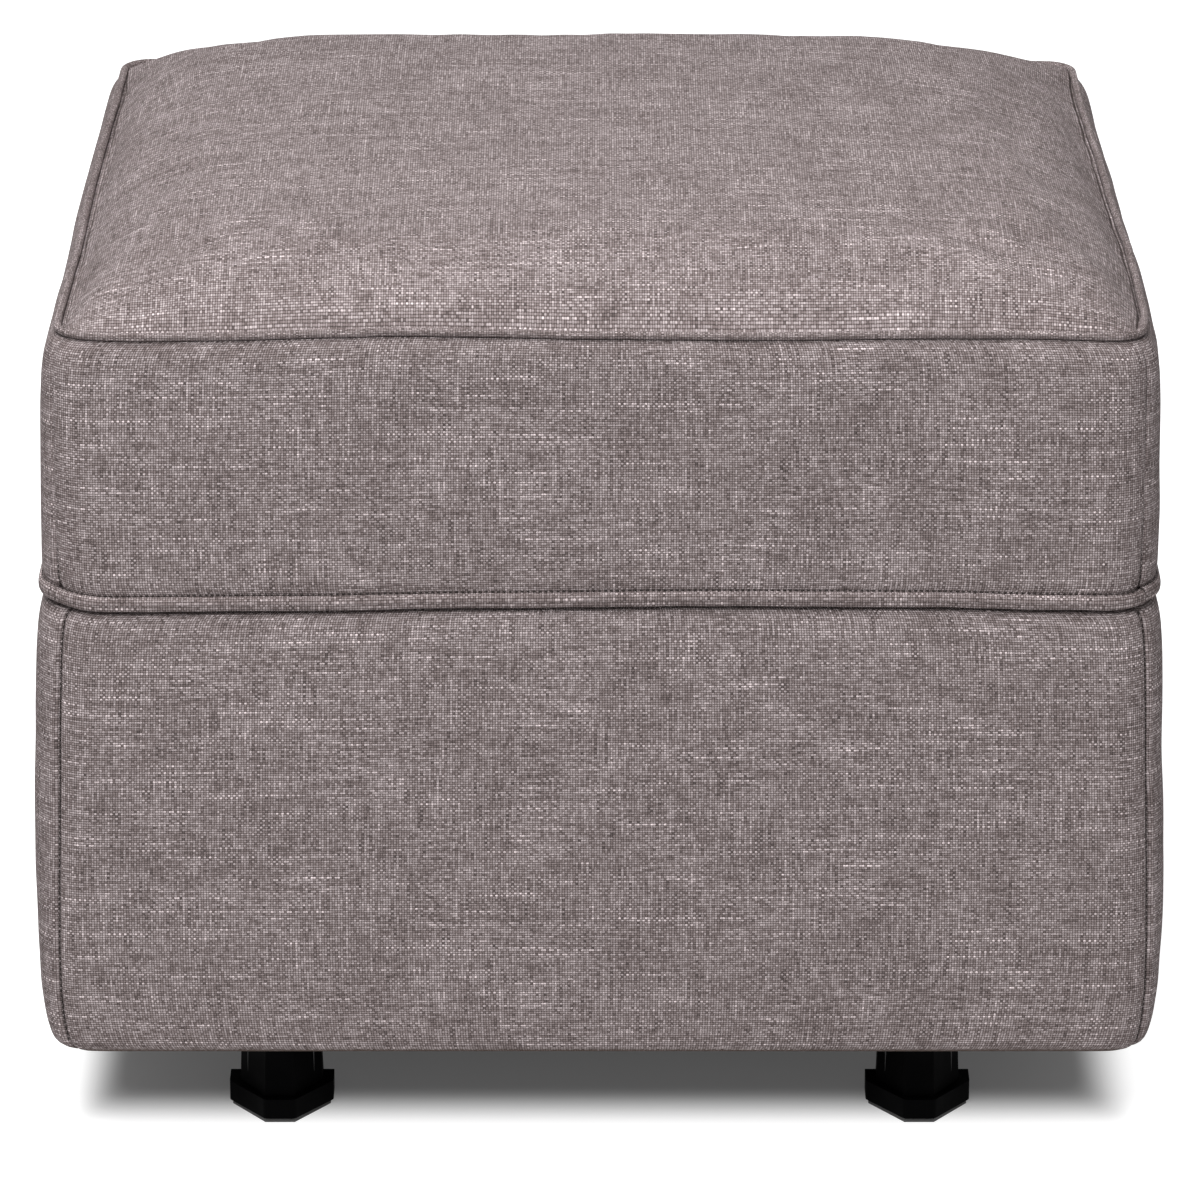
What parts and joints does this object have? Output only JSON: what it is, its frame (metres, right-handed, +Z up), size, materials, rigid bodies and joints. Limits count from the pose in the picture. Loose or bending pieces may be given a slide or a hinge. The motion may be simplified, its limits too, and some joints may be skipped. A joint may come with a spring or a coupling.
{
  "type": "glider ottoman",
  "caption": "Upholstered glider ottoman: a padded box with crowned top, piping and waist welt that glides level on hanging links over a low steel floor base.",
  "frame": {"origin": "on the floor, under the middle of the ottoman at rest", "axes": "+Z up, -Y towards the front that the picture shows, +X to the right seen from the front; the ottoman glides along Y"},
  "size_m": [0.5628, 0.4964, 0.4664],
  "materials": {
    "cover_fabric": "matte",
    "trim_fabric": "matte",
    "seat_foam": "matte",
    "side_padding": "matte",
    "felt": "matte",
    "webbing": "matte",
    "dust_cloth": "matte",
    "plywood": "matte",
    "hardwood": "matte",
    "black_steel": "satin",
    "bright_steel": "satin",
    "rubber": "matte",
    "black_plastic": "gloss",
    "glide_plastic": "matte"
  },
  "bodies": {
    "floor_base": {"boot_front_left": "black_plastic", "boot_front_right": "black_plastic", "boot_rear_left": "black_plastic", "boot_rear_right": "black_plastic", "cross_member_front": "black_steel", "cross_member_rear": "black_steel", "floor_glides": "glide_plastic", "floor_rail_left": "black_steel", "floor_rail_right": "black_steel", "hanger_plate_bolts": "bright_steel", "hanger_plate_left": "black_steel", "hanger_plate_nuts": "bright_steel", "hanger_plate_right": "black_steel", "travel_bumpers": "rubber", "upper_pivot_bolts": "bright_steel", "upper_pivot_nuts": "bright_steel", "upper_pivot_spacers": "bright_steel"},
    "link_front_left": {"swing_link_front_left": "black_steel", "link_bearings_front_left": "bright_steel"},
    "link_front_right": {"swing_link_front_right": "black_steel", "link_bearings_front_right": "bright_steel"},
    "link_rear_left": {"swing_link_rear_left": "black_steel", "link_bearings_rear_left": "bright_steel"},
    "link_rear_right": {"swing_link_rear_right": "black_steel", "link_bearings_rear_right": "bright_steel"},
    "ottoman_body": {"base_cover_back": "cover_fabric", "base_cover_front": "cover_fabric", "base_cover_left": "cover_fabric", "base_cover_right": "cover_fabric", "boxing_back": "cover_fabric", "boxing_front": "cover_fabric", "boxing_left": "cover_fabric", "boxing_right": "cover_fabric", "carriage_rail_left": "black_steel", "carriage_rail_right": "black_steel", "corner_blocks": "plywood", "dust_cover": "dust_cloth", "felt_pad": "felt", "frame_panel_back": "plywood", "frame_panel_front": "plywood", "frame_panel_left": "plywood", "frame_panel_right": "plywood", "lag_screws": "bright_steel", "ledger_left": "hardwood", "ledger_right": "hardwood", "lower_pivot_bolts": "bright_steel", "lower_pivot_nuts": "bright_steel", "lower_pivot_spacers": "bright_steel", "seat_foam": "seat_foam", "side_padding_back": "side_padding", "side_padding_front": "side_padding", "side_padding_left": "side_padding", "side_padding_right": "side_padding", "top_panel": "cover_fabric", "top_piping": "trim_fabric", "waist_welt": "trim_fabric", "webbing_crosswise": "webbing", "webbing_lengthwise": "webbing"}
  },
  "joints": [
    {"name": "glide", "type": "hinge", "parent": "floor_base", "child": "link_front_left", "pos_m": [-0.1962, -0.085, 0.18], "axis": [1, 0, 0], "range_deg": [-26, 26]},
    {"name": "swing_front_right", "type": "hinge", "parent": "floor_base", "child": "link_front_right", "pos_m": [0.1962, -0.085, 0.18], "axis": [1, 0, 0], "range_deg": [-26, 26]},
    {"name": "swing_rear_left", "type": "hinge", "parent": "floor_base", "child": "link_rear_left", "pos_m": [-0.1962, 0.085, 0.18], "axis": [1, 0, 0], "range_deg": [-26, 26]},
    {"name": "swing_rear_right", "type": "hinge", "parent": "floor_base", "child": "link_rear_right", "pos_m": [0.1962, 0.085, 0.18], "axis": [1, 0, 0], "range_deg": [-26, 26]},
    {"name": "body_level", "type": "hinge", "parent": "link_front_left", "child": "ottoman_body", "pos_m": [-0.1962, -0.085, 0.075], "axis": [1, 0, 0], "range_deg": [-26, 26]}
  ],
  "couplings": [
    {"joint": "swing_front_right", "follows": "glide", "ratio": 1},
    {"joint": "swing_rear_left", "follows": "glide", "ratio": 1},
    {"joint": "swing_rear_right", "follows": "glide", "ratio": 1},
    {"joint": "body_level", "follows": "glide", "ratio": -1}
  ]
}
